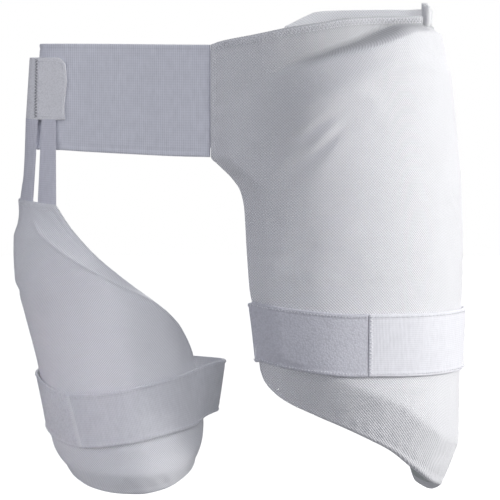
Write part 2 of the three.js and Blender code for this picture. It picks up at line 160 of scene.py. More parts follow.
# floor: disc of rings and spokes below the hanging set
def makeFloor():
    count = studio["floorSpokes"]
    rings = np.linspace(0.0, 1.0, studio["floorRings"])[1:] ** 2 * studio["floorRadius"]
    radius, turn = gridOf(rings, np.linspace(0.0, 2 * math.pi, count, endpoint=False))
    flat = np.stack([radius * np.cos(turn), radius * np.sin(turn), 0 * turn], -1).reshape(-1, 3)
    points = np.concatenate([flat, [[0.0, 0.0, 0.0]]]) - [0.0, 0.0, studio["floorDrop"]]
    inner = np.arange(count)
    fan = np.stack([np.full(count, len(flat)), inner, np.roll(inner, -1)], 1)
    mesh = bpy.data.meshes.new("studioFloor")
    mesh.from_pydata(points.tolist(), [], ringCells(len(rings), count, True).tolist() + fan.tolist())
    floor = addObject("studioFloor", mesh)
    paint = bpy.data.materials.new("floorPaint")
    paint.use_nodes = True
    shader = paint.node_tree.nodes["Principled BSDF"]
    shader.inputs["Base Color"].default_value = (*studio["floorColor"], 1.0)
    shader.inputs["Roughness"].default_value = 0.9
    shader.inputs["Emission Strength"].default_value = 1.0
    ray = addNode(paint.node_tree, "LightPath").outputs["Is Camera Ray"]
    paint.node_tree.links.new(ray, shader.inputs["Emission Color"])
    mesh.materials.append(paint)


makeCamera()
makeWorld()
makeLamps()
makeFloor()
scene.view_settings.view_transform = "Standard"
print("stage: camera and studio")


# Curves and tables
def table(names, rows):
    return dict(zip(names, np.array(rows, float).T))


# cubic through the stations, slope from the neighbours, held level outside them
def through(x, y, rounded=False):
    x = np.asarray(x, float)
    y = np.asarray(y, float)
    h = np.diff(x).reshape((-1,) + (1,) * (y.ndim - 1))
    rise = np.diff(y, axis=0) / h
    if rounded:
        inner = (rise[:-1] * h[1:] + rise[1:] * h[:-1]) / (h[:-1] + h[1:])
    else:
        both = rise[:-1] * rise[1:]
        inner = np.where(both > 0, 2 * both / np.where(both > 0, rise[:-1] + rise[1:], 1.0), 0.0)
    slope = np.concatenate([rise[:1], inner, rise[-1:]])

    def value(at):
        at = np.clip(np.asarray(at, float), x[0], x[-1])
        i = np.clip(np.searchsorted(x, at, side="right") - 1, 0, len(x) - 2)
        span = x[i + 1] - x[i]
        f = (at - x[i]) / span
        form = f.shape + (1,) * (y.ndim - 1)
        f = f.reshape(form)
        span = span.reshape(form)
        g = 1 - f
        ends = y[i] * (1 + 2 * f) * g * g + y[i + 1] * (1 + 2 * g) * f * f
        return ends + span * f * g * (slope[i] * g - slope[i + 1] * f)

    return value


def column(rows, by, name):
    order = np.argsort(rows[by], kind="stable")
    return through(rows[by][order], rows[name][order])


# line through points (stations, ..., axes) by its share of length in plan
def line(points, rounded=True):
    points = np.asarray(points, float)
    middle = points if points.ndim == 2 else points[:, points.shape[1] // 2]
    step = np.diff(middle[:, :2], axis=0)
    share = np.concatenate([[0.0], np.cumsum(np.hypot(step[:, 0], step[:, 1]))])
    share = share / share[-1]
    plan = through(share, points[..., :2], rounded)
    level = through(share, points[..., 2:], False)

    def value(at):
        return np.concatenate([plan(at), level(at)], -1)

    value.share = share
    return value


# 0 below 0, 1 above 1, with soft ends
def ramp(value):
    t = np.clip(value, 0.0, 1.0)
    return t * t * (3 - 2 * t)


# straight slope from 0 to 1 whose two corners are rounded by the given size
def slope(value, corner):
    return (np.sqrt(value ** 2 + corner ** 2) - np.sqrt((value - 1) ** 2 + corner ** 2) + 1) / 2


# 1 inside a span, run in over a length at its start and another at its end
def window(value, start, startRun, end, endRun):
    return ramp((value - start) / startRun) * ramp((end - value) / endRun)


def mix(a, b, t):
    return a + (b - a) * t


# bell: e to the minus square
def hump(value):
    return np.exp(-value ** 2)


# ripple drawn in beside a border: a swaying sine under a bell of the distance from it
def pucker(x, sway, border, facts):
    height, pitch, share, long, at, width = facts
    return height * np.sin(x / pitch + share * np.sin(sway / long)) * hump((border - at) / width)


# stations from 0 to 1 that stand closer at both ends
def crowded(count, length, lead=(0.25, 0.6, 1.1, 1.8, 2.8, 4.2)):
    lead = np.array(lead) / length
    inner = np.linspace(lead[-1], 1 - lead[-1], count)
    return np.concatenate([[0.0], lead[:-1], inner, 1 - lead[:-1][::-1], [1.0]])


# patch of (q, z) spanned between four border lines
def patch(left, right, top, bottom):
    edges = [line(np.stack([rows["q"], rows["z"]], 1), False) for rows in (left, right, top, bottom)]

    def value(u, v):
        a, b, c, d = edges[0](v), edges[1](v), edges[2](u), edges[3](u)
        u, v = u[..., None], v[..., None]
        corners = [edge(np.array(k)) for edge in edges[2:] for k in (0.0, 1.0)]
        flat = mix(mix(corners[0], corners[1], u), mix(corners[2], corners[3], u), v)
        grid = mix(a, b, u) + mix(c, d, v) - flat
        return grid[..., 0], grid[..., 1]

    return value


# soft folds: height times a bell along and a bell across each heading
def foldHeight(rows, q, z):
    total = np.zeros(np.shape(q))
    for atQ, atZ, heading, reach, width, height in zip(*rows.values()):
        turn = math.radians(heading)
        dq, dz = q - atQ, z - atZ
        along = (dq * math.cos(turn) + dz * math.sin(turn)) / reach
        across = (dz * math.cos(turn) - dq * math.sin(turn)) / width
        total = total + height * hump(along) * hump(across)
    return total


# Meshes
def addMesh(name, points, quads, uv, node=None):
    mesh = bpy.data.meshes.new(name)
    mesh.vertices.add(len(points))
    mesh.vertices.foreach_set("co", points.astype(np.float32).ravel())
    mesh.loops.add(quads.size)
    mesh.loops.foreach_set("vertex_index", quads.astype(np.int32).ravel())
    mesh.polygons.add(len(quads))
    mesh.polygons.foreach_set("loop_start", np.arange(0, quads.size, 4, dtype=np.int32))
    mesh.polygons.foreach_set("use_smooth", np.ones(len(quads), bool))
    mesh.update(calc_edges=True)
    layer = mesh.uv_layers.new(name="weave")
    layer.data.foreach_set("uv", uv.astype(np.float32).ravel())
    mesh.validate()
    piece = addObject(name, mesh)
    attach(piece, "root")
    if node:
        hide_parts(node)
    return piece


# closed skin of a front and a back grid that meet along their border
def closedSkin(name, front, back, flat, node=None):
    nu, nv = front.shape[:2]
    border = np.zeros((nu, nv), bool)
    border[[0, -1]] = True
    border[:, [0, -1]] = True
    first = np.arange(nu * nv).reshape(nu, nv)
    second = first.copy()
    second[~border] = nu * nv + np.arange((~border).sum())
    points = np.concatenate([front.reshape(-1, 3), back[~border]])
    quads = np.concatenate([cellCorners(first), cellCorners(second, True)]).reshape(-1, 4)
    uv = np.concatenate([cellCorners(flat), cellCorners(flat, True)]).reshape(-1, 2)
    return addMesh(name, toFrame(points), quads, uv, node)


# cloth run of one cover: a coarse sheet over the pad, held along its sewn borders and under its strap,
# blown out a little with some spare cloth; the result is the rise of each point along its normal
def settle(name, front, free, facts):
    nu, nv = front.shape[:2]
    quads = cellCorners(np.arange(nu * nv).reshape(nu, nv)).reshape(-1, 4)
    before = toFrame(front.reshape(-1, 3))
    mesh = bpy.data.meshes.new(name)
    mesh.from_pydata(before.tolist(), [], quads.tolist())
    sheet = addObject(name, mesh)
    held = sheet.vertex_groups.new(name="held")
    hold = np.round(1 - free, 1).ravel()
    for level in np.unique(hold):
        chosen = np.flatnonzero(np.isclose(hold, level))
        held.add(chosen.tolist(), float(level), "REPLACE")
    cloth = sheet.modifiers.new("settle", "CLOTH")
    stiffness = facts["stiffness"]
    for label, value in dict(
        quality=6, mass=0.2, tension_stiffness=stiffness, compression_stiffness=stiffness,
        shear_stiffness=stiffness / 3, bending_stiffness=facts["bending"], use_pressure=True,
        uniform_pressure_force=facts["pressure"], shrink_min=-facts["spare"], vertex_group_mass="held",
    ).items():
        setattr(cloth.settings, label, value)
    cloth.settings.effector_weights.gravity = 0.0
    cloth.collision_settings.use_collision = False
    cloth.point_cache.frame_start = 1
    cloth.point_cache.frame_end = facts["frames"]
    for moment in range(1, facts["frames"] + 1):
        scene.frame_set(moment)
    done = sheet.evaluated_get(bpy.context.evaluated_depsgraph_get())
    after = np.empty(nu * nv * 3, np.float32)
    done.data.vertices.foreach_get("co", after)
    scene.frame_set(1)
    bpy.data.objects.remove(sheet)
    bpy.data.meshes.remove(mesh)
    moved = (after.reshape(nu, nv, 3) - before.reshape(nu, nv, 3)) * 1000.0
    rise = (moved * gridNormals(front)).sum(-1)
    print("settled", name, "by", np.round([rise.min(), rise.max()], 2).tolist(), "mm")
    return facts["cap"] * np.tanh(rise / facts["cap"]) * free


# values of an even grid at the shares u and v, taken in straight lines between its points
def between(grid, u, v):
    x = np.clip(u, 0.0, 1.0) * (grid.shape[0] - 1)
    y = np.clip(v, 0.0, 1.0) * (grid.shape[1] - 1)
    i = np.minimum(x.astype(int), grid.shape[0] - 2)
    j = np.minimum(y.astype(int), grid.shape[1] - 2)
    low = mix(grid[i, j], grid[i + 1, j], x - i)
    high = mix(grid[i, j + 1], grid[i + 1, j + 1], x - i)
    return mix(low, high, y - j)


# share of painted shade at each point of a closed skin, the same on both of its sides
def addPaintedShade(piece, share):
    layer = piece.data.attributes.new("paintedShade", "FLOAT", "POINT")
    both = np.concatenate([share.reshape(-1), share[1:-1, 1:-1].reshape(-1)])
    layer.data.foreach_set("value", both.astype(np.float32))


# distance of each place of a grid from its left, right, top and low border, along its own lines
def borderDistance(q, z):
    grid = np.stack([q, z], -1)
    du = np.linalg.norm(np.diff(grid, axis=0), axis=-1)
    dv = np.linalg.norm(np.diff(grid, axis=1), axis=-1)
    left = np.concatenate([np.zeros((1, grid.shape[1])), np.cumsum(du, 0)])
    top = np.concatenate([np.zeros((grid.shape[0], 1)), np.cumsum(dv, 1)], 1)
    return left, left[-1:] - left, top, top[:, -1:] - top


# edge profile: quarter circle from 0 at the border to 1 at the rounding radius
def roundEdge(distance, radius):
    t = np.clip(distance / radius, 0.0, 1.0)
    return np.sqrt(np.clip(1 - (1 - t) ** 2, 0.0, 1.0))


# unit normals of a grid of points from its two directions
def gridNormals(grid):
    return unit(np.cross(np.gradient(grid, axis=1), np.gradient(grid, axis=0)))


# face of a pad of the form (lining side, thickness), raised by a lift, and its outward direction
def onPad(form, q, z, lift=0.0):
    point, out = form[0](q, z)
    return point + out * (form[1](q, z) + lift)[..., None], out


# cover of a pad: its face and its lining side, drawn together round the rim
def makeCover(name, node, form, q, z, raised, rim):
    point, out = form[0](q, z)
    half = form[1](q, z) / 2
    drawn = roundEdge(np.minimum.reduce(borderDistance(q, z)), rim)
    front = point + out * (half + (half + raised) * drawn)[..., None]
    back = point + out * (half - half * drawn)[..., None]
    return closedSkin(name, front, back, np.stack([q, z], -1) * 0.001, node)


# rise of a pad's cover: free inside its borders, above and below its strap, and within a part of the pad
def coverRise(name, form, grid, facts, within=None):
    border, above, below = facts["border"], facts["above"], facts["below"]
    q, z = grid(*gridOf(*(np.linspace(0, 1, count) for count in facts["counts"])))
    free = ramp((np.minimum.reduce(borderDistance(q, z)) - border[0]) / border[1])
    free = free * (ramp((z - above[0]) / above[1]) + ramp((below[0] - z) / below[1]))
    if within:
        free = free * within(q, z)
    return settle(name, onPad(form, q, z)[0], free, facts)


# strip: middle surface path(along, across) thickened both ways, rounded at its border
def makeStrip(name, node, path, facts, swell=None):
    counts, size, thick = facts["counts"], facts["size"], facts["thick"]
    along = crowded(counts[0], size[1], (0.3, 0.8, 1.6))
    across = crowded(counts[1], size[0], (0.15, 0.4, 0.8, 1.4))
    middle = path(along, across)
    normal = gridNormals(middle)
    u, v = gridOf(along * size[1], across * size[0])
    edge = np.minimum(np.minimum(u, size[1] - u), np.minimum(v, size[0] - v))
    half = thick / 2 * roundEdge(edge, thick / 2)
    lift = half if swell is None else half + swell(u, v) * roundEdge(edge, thick * 1.5)
    front = middle + normal * lift[..., None]
    back = middle - normal * half[..., None]
    flat = np.stack([u, v], -1) * 0.001
    return closedSkin(name, front, back, flat, node)


# row of stitches: one small closed grain of thread for each place, laid along its heading
def makeStitches(name, places, headings, normals, grain=(2.3, 0.75, 0.55)):
    turn = np.linspace(0.0, 2 * math.pi, 7)[:-1]
    ends = np.array([-1.0, -0.78, 0.0, 0.78, 1.0])
    belly = np.sqrt(np.clip(1 - np.abs(ends) ** 2.4, 0.0, 1.0)) * 0.98 + 0.02
    shape = np.stack([
        np.repeat(ends[:, None], 6, 1) * grain[0] / 2,
        belly[:, None] * np.cos(turn)[None] * grain[1] / 2,
        belly[:, None] * np.sin(turn)[None] * grain[2],
    ], -1).reshape(-1, 3)
    headings = unit(headings)
    sides = unit(np.cross(normals, headings))
    points = places[:, None] + shape[None, :, :1] * headings[:, None]
    points = points + shape[None, :, 1:2] * sides[:, None] + shape[None, :, 2:] * normals[:, None]
    caps = np.array([[3, 2, 1, 0], [5, 4, 3, 0], [24, 25, 26, 27], [24, 27, 28, 29]])
    cell = np.concatenate([ringCells(5, 6), caps])
    quads = (cell[None] + (np.arange(len(places)) * len(shape))[:, None, None]).reshape(-1, 4)
    uv = np.tile(shape[:, :2] * 0.001, (len(places), 1))[quads.ravel()]
    return addMesh(name, toFrame(points.reshape(-1, 3)), quads, uv)


# places, headings and normals every few millimetres along a sampled line on a surface
def stitchPlaces(points, normals, pitch):
    step = np.linalg.norm(np.diff(points, axis=0), axis=1)
    run = np.concatenate([[0.0], np.cumsum(step)])
    at = np.arange(pitch / 2, run[-1], pitch)

    def read(rows, where):
        return np.stack([np.interp(where, run, rows[:, k]) for k in range(3)], 1)

    return read(points, at), read(points, at + 0.4) - read(points, at - 0.4), unit(read(normals, at))


# Large pad
outerPad = dict(
    settle=dict(
        stiffness=60.0, bending=2.0, pressure=4.0, spare=0.003, frames=20, cap=0.7,
        counts=(76, 84), border=(7.0, 10.0), above=(-152.0, 12.0), below=(-238.0, 12.0),
    ),
    crownX=55.0, leftRadius=230.0, turnRadius=130.0, flange=4.0, core=12.0,
    leftBevel=17.0, lowBevel=37.0, rearBevel=26.0, columns=150, rows=130, rim=2.0,
    band=dict(start=-6.0, end=158.0, depth=17.0, ledge=4.0, under=6.0),
    sections=table(("z", "radius", "front"), [
        (-340, 114, -24), (-302, 116.5, -31), (-227, 118, -38), (-127, 120, -41), (-70, 118, -41),
        (-38, 115, -40), (0, 111.5, -39), (41, 107.4, -38.5), (80, 105.8, -38),
    ]),
    left=table(("q", "z"), [
        (-76, 45.5), (-76, 0), (-75.5, -45.5), (-70, -51), (-57.5, -63), (-51, -73), (-48, -87),
        (-46, -120), (-43.6, -152), (-41, -166), (-36.5, -206), (-35, -217.5),
    ]),
    top=table(("q", "z"), [
        (-76, 45.5), (-68, 48.2), (-40, 53.6), (-2.5, 61), (15, 63), (42, 66.5), (80, 68.5),
        (143, 70), (151, 70.3), (153.6, 62.5), (204, 62), (262, 61),
    ]),
    right=table(("q", "z"), [
        (262, 61), (262, 8), (262, -46), (267, -90), (278, -190), (284, -270), (284, -318),
    ]),
    bottom=table(("q", "z"), [
        (-35, -217.5), (-31.6, -226.5), (-22.5, -237), (-10.7, -245), (9, -254), (37, -265.5),
        (61, -276), (83, -286), (113, -303), (152, -319), (204, -328), (245, -335), (270, -332),
        (284, -318),
    ]),
    crease=table(("q", "z", "bevel"), [
        (-76, -6, 52), (-34, 13, 44), (-7, 26, 36), (16, 33, 32), (42, 40, 28), (78, 49, 25),
        (127, 60, 31), (180, 59, 36), (262, 56, 32),
    ]),
    folds=table(("q", "z", "heading", "reach", "width", "height"), [
        (11, -20, 32, 17, 3.4, -2.3), (10, -14, 32, 18, 4.5, 1.3), (16, -27, 34, 16, 4.5, 1.7),
        (17, -35, 44, 18, 3.4, -1.9), (12, -30, 42, 16, 4, 0.8), (23, -41, 44, 18, 6, 1.2),
        (-6, -52, 52, 24, 7, -0.9), (-12, -44, 52, 26, 7, 0.9), (-34, -22, 66, 34, 9, 0.8),
        (-44, -34, 72, 30, 8, -0.7), (58, -78, 36, 34, 12, 0.6), (-20, -120, 80, 44, 8, 0.5),
        (36, -150, 20, 50, 14, 0.4), (70, -236, 12, 40, 9, 0.5), (20, -226, 24, 34, 8, 0.5),
    ]),
    roof=dict(q=8.0, width=42.0, height=3.2),
    ridge=dict(height=1.5, fall=11.0, span=(-18.0, 24.0, 130.0, 30.0)),
    arris=table(("q", "z"), [
        (-16, -14), (0, -4), (12, 5), (24, 11), (37, 16), (50, 21), (64, 26), (83, 31), (105, 36),
        (135, 41),
    ]),
    hem=dict(height=0.7, width=7.0, corner=1.2),
    piping=dict(height=1.1, at=2.4, width=1.5, dip=0.6, dipAt=6.4, dipWidth=1.3),
    groove=dict(depth=0.5, at=5.0, width=0.8),
    valley=dict(depth=2.4, above=3.0, width=3.5, span=(-30.0, 40.0, 160.0, 14.0)),
    # height, pitch, sway and its length, distance from the border, width
    puckers=dict(
        top=(0.14, 1.9, 0.6, 7.0, 9.0, 4.0), left=(0.4, 2.4, 0.8, 9.0, 9.0, 5.0),
        low=(0.25, 2.2, 0.7, 8.0, 8.0, 4.0),
    ),
    # strongest share of painted shade, a greyer cloth colour: flap band, crease, upper left
    paintedShade=dict(band=0.55, crease=0.45, corner=0.38),
)
outerRadius = column(outerPad["sections"], "z", "radius")
outerFront = column(outerPad["sections"], "z", "front")
outerGrid = patch(outerPad["left"], outerPad["right"], outerPad["top"], outerPad["bottom"])
creaseZ = column(outerPad["crease"], "q", "z")
creaseBevel = column(outerPad["crease"], "q", "bevel")
arrisZ = column(outerPad["arris"], "q", "z")
outerLeftQ = column({k: v[2:] for k, v in outerPad["left"].items()}, "z", "q")
outerRightQ = column(outerPad["right"], "z", "q")
outerBottomZ = column({k: v[:12] for k, v in outerPad["bottom"].items()}, "q", "z")


# depth of the flange behind the core: half a sine along its run, rising over the ledge
def bandDepth(q, rise):
    band = outerPad["band"]
    share = np.clip((q - band["start"]) / (band["end"] - band["start"]), 0.5, 1.0)
    fade = slope((q + 25) / 101, 0.12)
    return band["depth"] * np.sin(math.pi * share) * fade * ramp(rise / band["ledge"])


# lining side of the large pad: flat arc left of the crown, tighter arc right of it
def outerBase(q, z):
    left = q < 0
    turn = q / np.where(left, outerPad["leftRadius"], outerPad["turnRadius"])
    radius = np.where(left, outerPad["leftRadius"], outerRadius(z))
    out = np.stack([np.sin(turn), -np.cos(turn), np.zeros(np.shape(turn))], -1)
    y = outerFront(z) + radius * (1 - np.cos(turn))
    point = np.stack([outerPad["crownX"] + radius * np.sin(turn), y, z + 0 * q], -1)
    return point - out * bandDepth(q, z - creaseZ(q) + outerPad["band"]["under"])[..., None], out


# stuffing: a broad bell along the crown and a sharp one, falling by e, along the arris under the crease
def outerSwell(q, z):
    roof, ridge = outerPad["roof"], outerPad["ridge"]
    broad = roof["height"] * hump((q - roof["q"]) / roof["width"]) * (0.7 + 0.3 * ramp((z + 130) / 80))
    away = np.sqrt((z - arrisZ(q)) ** 2 + 1.2)
    narrow = ridge["height"] * np.exp(-away / ridge["fall"]) * window(q, *ridge["span"])
    return broad + narrow


# thin flange plus a foam core with straight bevels, plus the bells and the soft folds
def outerThick(q, z):
    drop = (creaseZ(q) - z) / creaseBevel(q)
    crisp = 0.5 * ramp((q - 20) / 70)
    top = crisp * slope(drop / 0.09, 0.3) + (1 - crisp) * slope(drop, 0.06)
    left = slope((q - outerLeftQ(z)) / outerPad["leftBevel"], 0.12)
    low = slope((z - outerBottomZ(q)) / outerPad["lowBevel"], 0.035)
    rear = slope((outerRightQ(z) - q) / outerPad["rearBevel"], 0.12)
    core = top * left * low * rear
    rise = z - creaseZ(q)
    ledge = bandDepth(q, rise + outerPad["band"]["under"]) - bandDepth(q, rise)
    swell = outerSwell(q, z) + foldHeight(outerPad["folds"], q, z)
    return outerPad["flange"] + (outerPad["core"] + swell) * core + ledge


outerForm = (outerBase, outerThick)


# rows that follow the crease: flange, ledge, underside of the ledge, then the core down to the lower edge
def creaseRows(u):
    v = np.linspace(0.0, 1.0, 801)
    q, z = outerGrid(*gridOf(u, v))
    crease = v[np.argmax(z - creaseZ(q) <= 0, 1)]
    at = outerGrid(u, crease)[1]
    high = outerGrid(u, 0 * u)[1] - at
    deep = at - outerGrid(u, 1 + 0 * u)[1]
    band = outerPad["band"]
    ledge = crease * (1 - np.minimum(band["ledge"] / high, 0.6))
    under = crease + (1 - crease) * band["under"] / deep
    flange = np.concatenate([[0.0, 0.01, 0.025, 0.045, 0.07, 0.11], np.linspace(0.16, 1.0, 14)])
    step = np.linspace(0.0, 1.0, 6)[1:]
    foot = 1 - np.array([4.2, 2.8, 1.8, 1.1, 0.6, 0.25, 0.0]) / 300.0
    face = np.concatenate([np.linspace(0.0, foot[0], outerPad["rows"])[1:], foot[1:]])
    parts = [(0 * u, ledge, flange), (ledge, crease, step), (crease, under, step), (under, 1 + 0 * u, face)]
    rows = np.concatenate([mix(a[:, None], b[:, None], share[None]) for a, b, share in parts], 1)
    return np.repeat(u[:, None], rows.shape[1], 1), rows


def underCrease(q, z):
    return ramp((creaseZ(q) - z - 2) / 10)


def makeOuterPad():
    u, v = creaseRows(crowded(outerPad["columns"], 340.0))
    q, z = outerGrid(u, v)
    left, _, top, low = borderDistance(q, z)
    # hem along the top, piping along the belt seam, sewn groove inside the free borders
    hem, piping, groove = outerPad["hem"], outerPad["piping"], outerPad["groove"]
    runTop = ramp((q + 70) / 20)
    seam = ramp((z + 52) / 8)
    raised = hem["height"] * slope((hem["width"] - top) / hem["corner"], 0.4) * runTop * ramp((146 - q) / 4)
    cord = piping["height"] * hump((left - piping["at"]) / piping["width"])
    cord = cord - piping["dip"] * hump((left - piping["dipAt"]) / piping["dipWidth"])
    raised = raised + cord * seam * (1 + 0.35 * np.sin(z / 13.0 + 0.6))
    sewn = np.minimum(left + 50 * seam, low)
    raised = raised - groove["depth"] * hump((sewn - groove["at"]) / groove["width"])
    # valley along the crease, puckers drawn in by the sewn borders, rise of the cloth run
    valley = outerPad["valley"]
    high = z - creaseZ(q)
    sunk = hump((high - valley["above"]) / valley["width"]) * window(q, *valley["span"])
    raised = raised - valley["depth"] * sunk
    raised = raised + pucker(q, q, top, outerPad["puckers"]["top"]) * runTop
    raised = raised + pucker(z, z, left, outerPad["puckers"]["left"])
    raised = raised + pucker(q, q, low, outerPad["puckers"]["low"])
    rise = coverRise("outerSettle", outerForm, outerGrid, outerPad["settle"], underCrease)
    raised = raised + between(rise, u, v)
    pad = makeCover(
        "outerPadCover", "outer_thigh_pad", outerForm, q, z, raised, outerPad["rim"])
    # painted shade: greyer colour over the flap band, along the crease and on the upper left, where the
    # cover lies in shade
    paintedShade = outerPad["paintedShade"]
    shadeShare = paintedShade["band"] * ramp((high + 1) / 5) * ramp((q + 62) / 70)
    shadeShare = np.maximum(shadeShare, paintedShade["corner"] * hump((q + 12) / 34) * hump((z - 2) / 62))
    shadeShare = shadeShare + paintedShade["crease"] * hump((high - 1.5) / 3.0) * ramp((q + 20) / 50)
    addPaintedShade(pad, np.clip(shadeShare, 0.0, 1.0))
    return pad


# Lining of the large pad, a thin sheet behind it
lining = dict(left=0.03, right=0.97, top=0.4, bottom=0.985, gap=0.3, thick=1.4, columns=70, rows=60)


def makeLining():
    s, t = gridOf(crowded(lining["columns"], 300.0), crowded(lining["rows"], 230.0))
    q, z = outerGrid(mix(lining["left"], lining["right"], s), mix(lining["top"], lining["bottom"], t))
    base, out = outerBase(q, z)
    edge = np.minimum.reduce(borderDistance(q, z))
    half = lining["thick"] / 2 * roundEdge(edge, lining["thick"] / 2)
    middle = lining["gap"] + lining["thick"] / 2
    quilt = 0.25 * np.sin(q * 0.42) * np.sin(z * 0.42) * roundEdge(edge, 6.0)
    front = base - out * (middle - half)[..., None]
    back = base - out * (middle + half + quilt * 0.5)[..., None]
    flat = np.stack([q, z], -1) * 0.001
    sheet = closedSkin("outerPadLining", front, back, flat, "outer_pad_lining")
    return sheet


outerCover = makeOuterPad()
outerLining = makeLining()
print("stage: large pad")

# Small pad
innerPad = dict(
    turnRadius=66.0, axisY=30.0, edge=5.0, core=9.0, bevel=19.0, lowBevel=16.0,
    columns=120, rows=150, rim=2.5,
    groove=dict(depth=0.4, at=6.0, width=0.8),
    wall=dict(depth=1.1, at=10.5, width=1.0, span=(-262.0, 16.0, -160.0, 12.0)),
    arris=dict(width=2.6, span=(-168.0, 12.0, -94.0, 14.0)),
    pucker=(0.25, 2.6, 0.7, 9.0, 9.0, 4.0),
    settle=dict(
        stiffness=60.0, bending=2.0, pressure=4.0, spare=0.002, frames=20, cap=0.7,
        counts=(44, 66), border=(6.0, 9.0), above=(-194.0, 12.0), below=(-288.0, 10.0),
    ),
    facet=table(("z", "width"), [
        (-310, 12), (-240, 9), (-190, 7), (-168, 9), (-152, 15), (-136, 20), (-119, 26), (-104, 31),
        (-84, 36),
    ]),
    sections=table(("z", "axisX", "radius"), [
        (-322, -82.5, 51), (-300, -85.5, 53), (-259, -91.8, 52), (-223, -98, 52), (-175, -110, 52),
        (-145, -118, 52), (-107, -121, 52), (-80, -125, 52),
    ]),
    top=table(("q", "z"), [(-86, -80), (-57, -82), (-28, -84)]),
    left=table(("q", "z"), [
        (-86, -80), (-103, -112), (-115, -150), (-118, -200), (-114, -254), (-103, -284), (-70, -308),
    ]),
    right=table(("q", "z"), [
        (-28, -84), (-16, -102), (8, -126), (40, -149), (68, -168), (90, -188), (103, -212),
        (105, -240), (98.5, -267), (73, -298.5),
    ]),
    bottom=table(("q", "z"), [
        (-70, -308), (-42, -316.8), (-17, -320), (4, -320.5), (30, -317), (54, -308.5), (73, -298.5),
    ]),
    folds=table(("q", "z", "heading", "reach", "width", "height"), [
        (-84, -150, 30, 20, 4.5, -1.7), (-80, -143, 30, 22, 4, 1.1), (-64, -146, 40, 22, 6, -1.2),
        (-60, -138, 40, 22, 6, 0.8), (-56, -160, 44, 24, 8, 0.7), (20, -200, 70, 30, 12, 0.5),
        (-2, -284, 12, 26, 5, 0.8), (4, -291, 16, 24, 5, -0.8), (40, -278, 24, 20, 5, 0.6),
        (-50, -288, -20, 18, 5, 0.5),
    ]),
)
innerAxis = column(innerPad["sections"], "z", "axisX")
innerRadius = column(innerPad["sections"], "z", "radius")
innerGrid = patch(innerPad["left"], innerPad["right"], innerPad["top"], innerPad["bottom"])
innerLeftQ = column(innerPad["left"], "z", "q")
innerRightQ = column(innerPad["right"], "z", "q")
facetWidth = column(innerPad["facet"], "z", "width")
innerBottomZ = column({
    k: np.concatenate([innerPad["left"][k][4:], innerPad["bottom"][k][1:], innerPad["right"][k][7:9]])
    for k in ("q", "z")
}, "q", "z")


# lining side of the small pad: an arc about an axis that leans with height
def innerBase(q, z):
    turn = q / innerPad["turnRadius"]
    out = np.stack([np.sin(turn), -np.cos(turn), np.zeros(np.shape(turn))], -1)
    axis = np.stack([innerAxis(z) + 0 * q, innerPad["axisY"] + 0 * q, z + 0 * q], -1)
    return axis + out * (innerRadius(z) + 0 * q)[..., None], out


# even edge plus a foam core bevelled towards the neck and all borders, plus a bell along the facet's arris
def innerThick(q, z):
    neck = slope((-86 - z) / 24, 0.08)
    left = slope((q - innerLeftQ(z)) / innerPad["bevel"], 0.12)
    right = slope((innerRightQ(z) - q) / facetWidth(z), 0.05)
    low = slope((z - innerBottomZ(q)) / innerPad["lowBevel"], 0.2)
    core = np.clip(neck, 0, 1) * left * right * low
    facts = innerPad["arris"]
    arris = hump((innerRightQ(z) - q - facetWidth(z)) / facts["width"]) * window(z, *facts["span"])
    return innerPad["edge"] + (innerPad["core"] + foldHeight(innerPad["folds"], q, z)) * core + arris


innerForm = (innerBase, innerThick)


def makeInnerPad():
    u, v = gridOf(crowded(innerPad["columns"], 150.0), crowded(innerPad["rows"], 260.0))
    q, z = innerGrid(u, v)
    borders = borderDistance(q, z)
    right = borders[1]
    edge = np.minimum.reduce(borders)
    groove, wall = innerPad["groove"], innerPad["wall"]
    walled = window(z, *wall["span"])
    raised = -groove["depth"] * hump((edge - groove["at"]) / groove["width"])
    raised = raised - wall["depth"] * walled * hump((right - wall["at"]) / wall["width"])
    rise = coverRise("innerSettle", innerForm, innerGrid, innerPad["settle"])
    raised = raised + between(rise, u, v) + pucker(q + z, z, edge, innerPad["pucker"])
    pad = makeCover(
        "innerPadCover", "inner_thigh_pad", innerForm, q, z, raised, innerPad["rim"])
    return pad


innerCover = makeInnerPad()
print("stage: small pad")

# Waist belt
gap = 0.3
rest = 1.0
belt = dict(
    thick=2.6, size=(88.0, 408.0), counts=(260, 60), seam=(45.4, -45.4), foldFrom=-141.0, foldLean=3.0,
    weave=dict(
        waves=((0.35, 23.0, 60.0, 0.0), (0.25, 9.5, -31.0, 1.3)),
        selvedge=((0.35, 1.6, 1.1), (-0.4, 4.4, 0.9)),
    ),
    run=table(("x", "y", "top", "bottom"), [
        (40.8, 151.2, 44, -42), (0, 136, 44, -41), (-60, 96, 45, -40), (-110, 53, 46, -40),
        (-142, 18, 46.5, -40), (-149.5, 9.5, 46.5, -40), (-156.4, 5, 46.5, -40), (-159.2, -1, 46.5, -40),
        (-156, -7, 46.5, -40), (-148, -10.4, 46.5, -40), (-120, -13.8, 46.4, -41.5),
        (-80, -18.4, 46, -43.5), (-45, -23.2, 45.6, -45),
    ]),
)


# middle of the pad's flange at its seam, drawn back by the gap
def seamPoint(z):
    point, out = outerBase(np.full(np.shape(z), outerPad["left"]["q"][0]), z)
    along = np.stack([-out[..., 1], out[..., 0], 0 * z], -1)
    return point + out * outerPad["flange"] / 2 - along * gap


# stations of a run with a top and a bottom height, for every place across
def runStations(rows, across):
    x, y, top, bottom = (values[:, None] + 0 * across[None] for values in rows.values())
    return np.stack([x, y, mix(top, bottom, across[None])], -1)


def beltPath(along, across):
    end = seamPoint(mix(belt["seam"][0], belt["seam"][1], across))[None]
    grid = line(np.concatenate([runStations(belt["run"], across), end]))(along)
    fold = ramp((belt["foldFrom"] - grid[..., 0]) / 16)
    return grid - np.stack([belt["foldLean"] * fold * across[None], 0 * fold, 0 * fold], -1)


